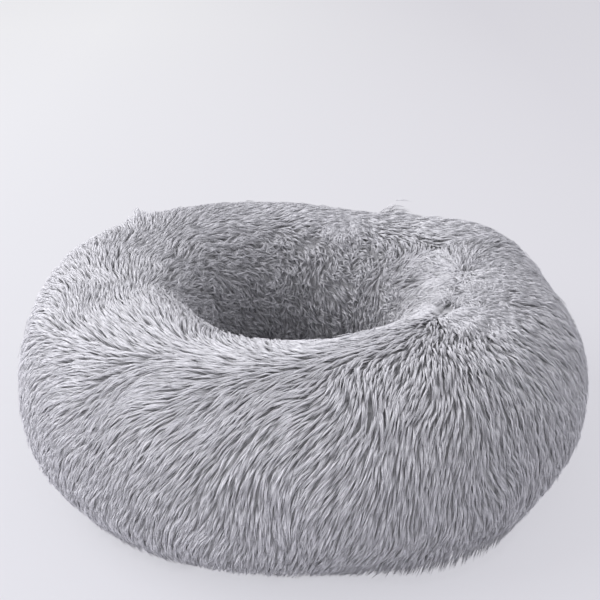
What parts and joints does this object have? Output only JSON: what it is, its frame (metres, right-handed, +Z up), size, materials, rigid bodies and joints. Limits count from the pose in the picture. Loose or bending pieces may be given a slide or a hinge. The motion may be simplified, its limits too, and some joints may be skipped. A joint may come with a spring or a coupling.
{
  "type": "pet bed",
  "caption": "Round plush pet bed: a fat stuffed ring round a cushioned well, in a removable cover with a zip across its underside.",
  "frame": {"origin": "middle of the base, on the floor", "axes": "+Z up; -Y towards the front of the picture; the zip runs along X"},
  "size_m": [0.6006, 0.5989, 0.1949],
  "materials": {
    "plush": "matte",
    "liner": "matte",
    "fibre": "matte",
    "base_cloth": "matte",
    "binding": "matte",
    "zip_tape": "matte",
    "zip_teeth": "satin",
    "zip_metal": "satin"
  },
  "bodies": {
    "bed": {"ring_cover": "plush", "ring_liner": "liner", "ring_filling": "fibre", "well_panel": "plush", "well_liner": "liner", "well_filling": "fibre", "well_binding": "binding", "base_panel_front": "base_cloth", "base_panel_rear": "base_cloth", "base_wadding_front": "fibre", "base_wadding_rear": "fibre", "base_binding": "binding", "zip_tape_front": "zip_tape", "zip_tape_rear": "zip_tape", "zip_teeth_front": "zip_teeth", "zip_teeth_rear": "zip_teeth", "zip_top_stop_front": "zip_metal", "zip_top_stop_rear": "zip_metal", "zip_bottom_stop": "zip_metal"},
    "slider": {"zip_slider": "zip_metal"},
    "pull": {"zip_pull": "zip_metal"}
  },
  "joints": [
    {"name": "zip_slide", "type": "slide", "parent": "bed", "child": "slider", "axis": [-1, 0, 0], "range_m": [0, 0.357], "deforming": ["zip_teeth_front", "zip_teeth_rear"]},
    {"name": "pull_hinge", "type": "hinge", "parent": "slider", "child": "pull", "pos_m": [0.1804, 0, 0.00242], "axis": [0, -1, 0], "range_deg": [0, 175]}
  ]
}
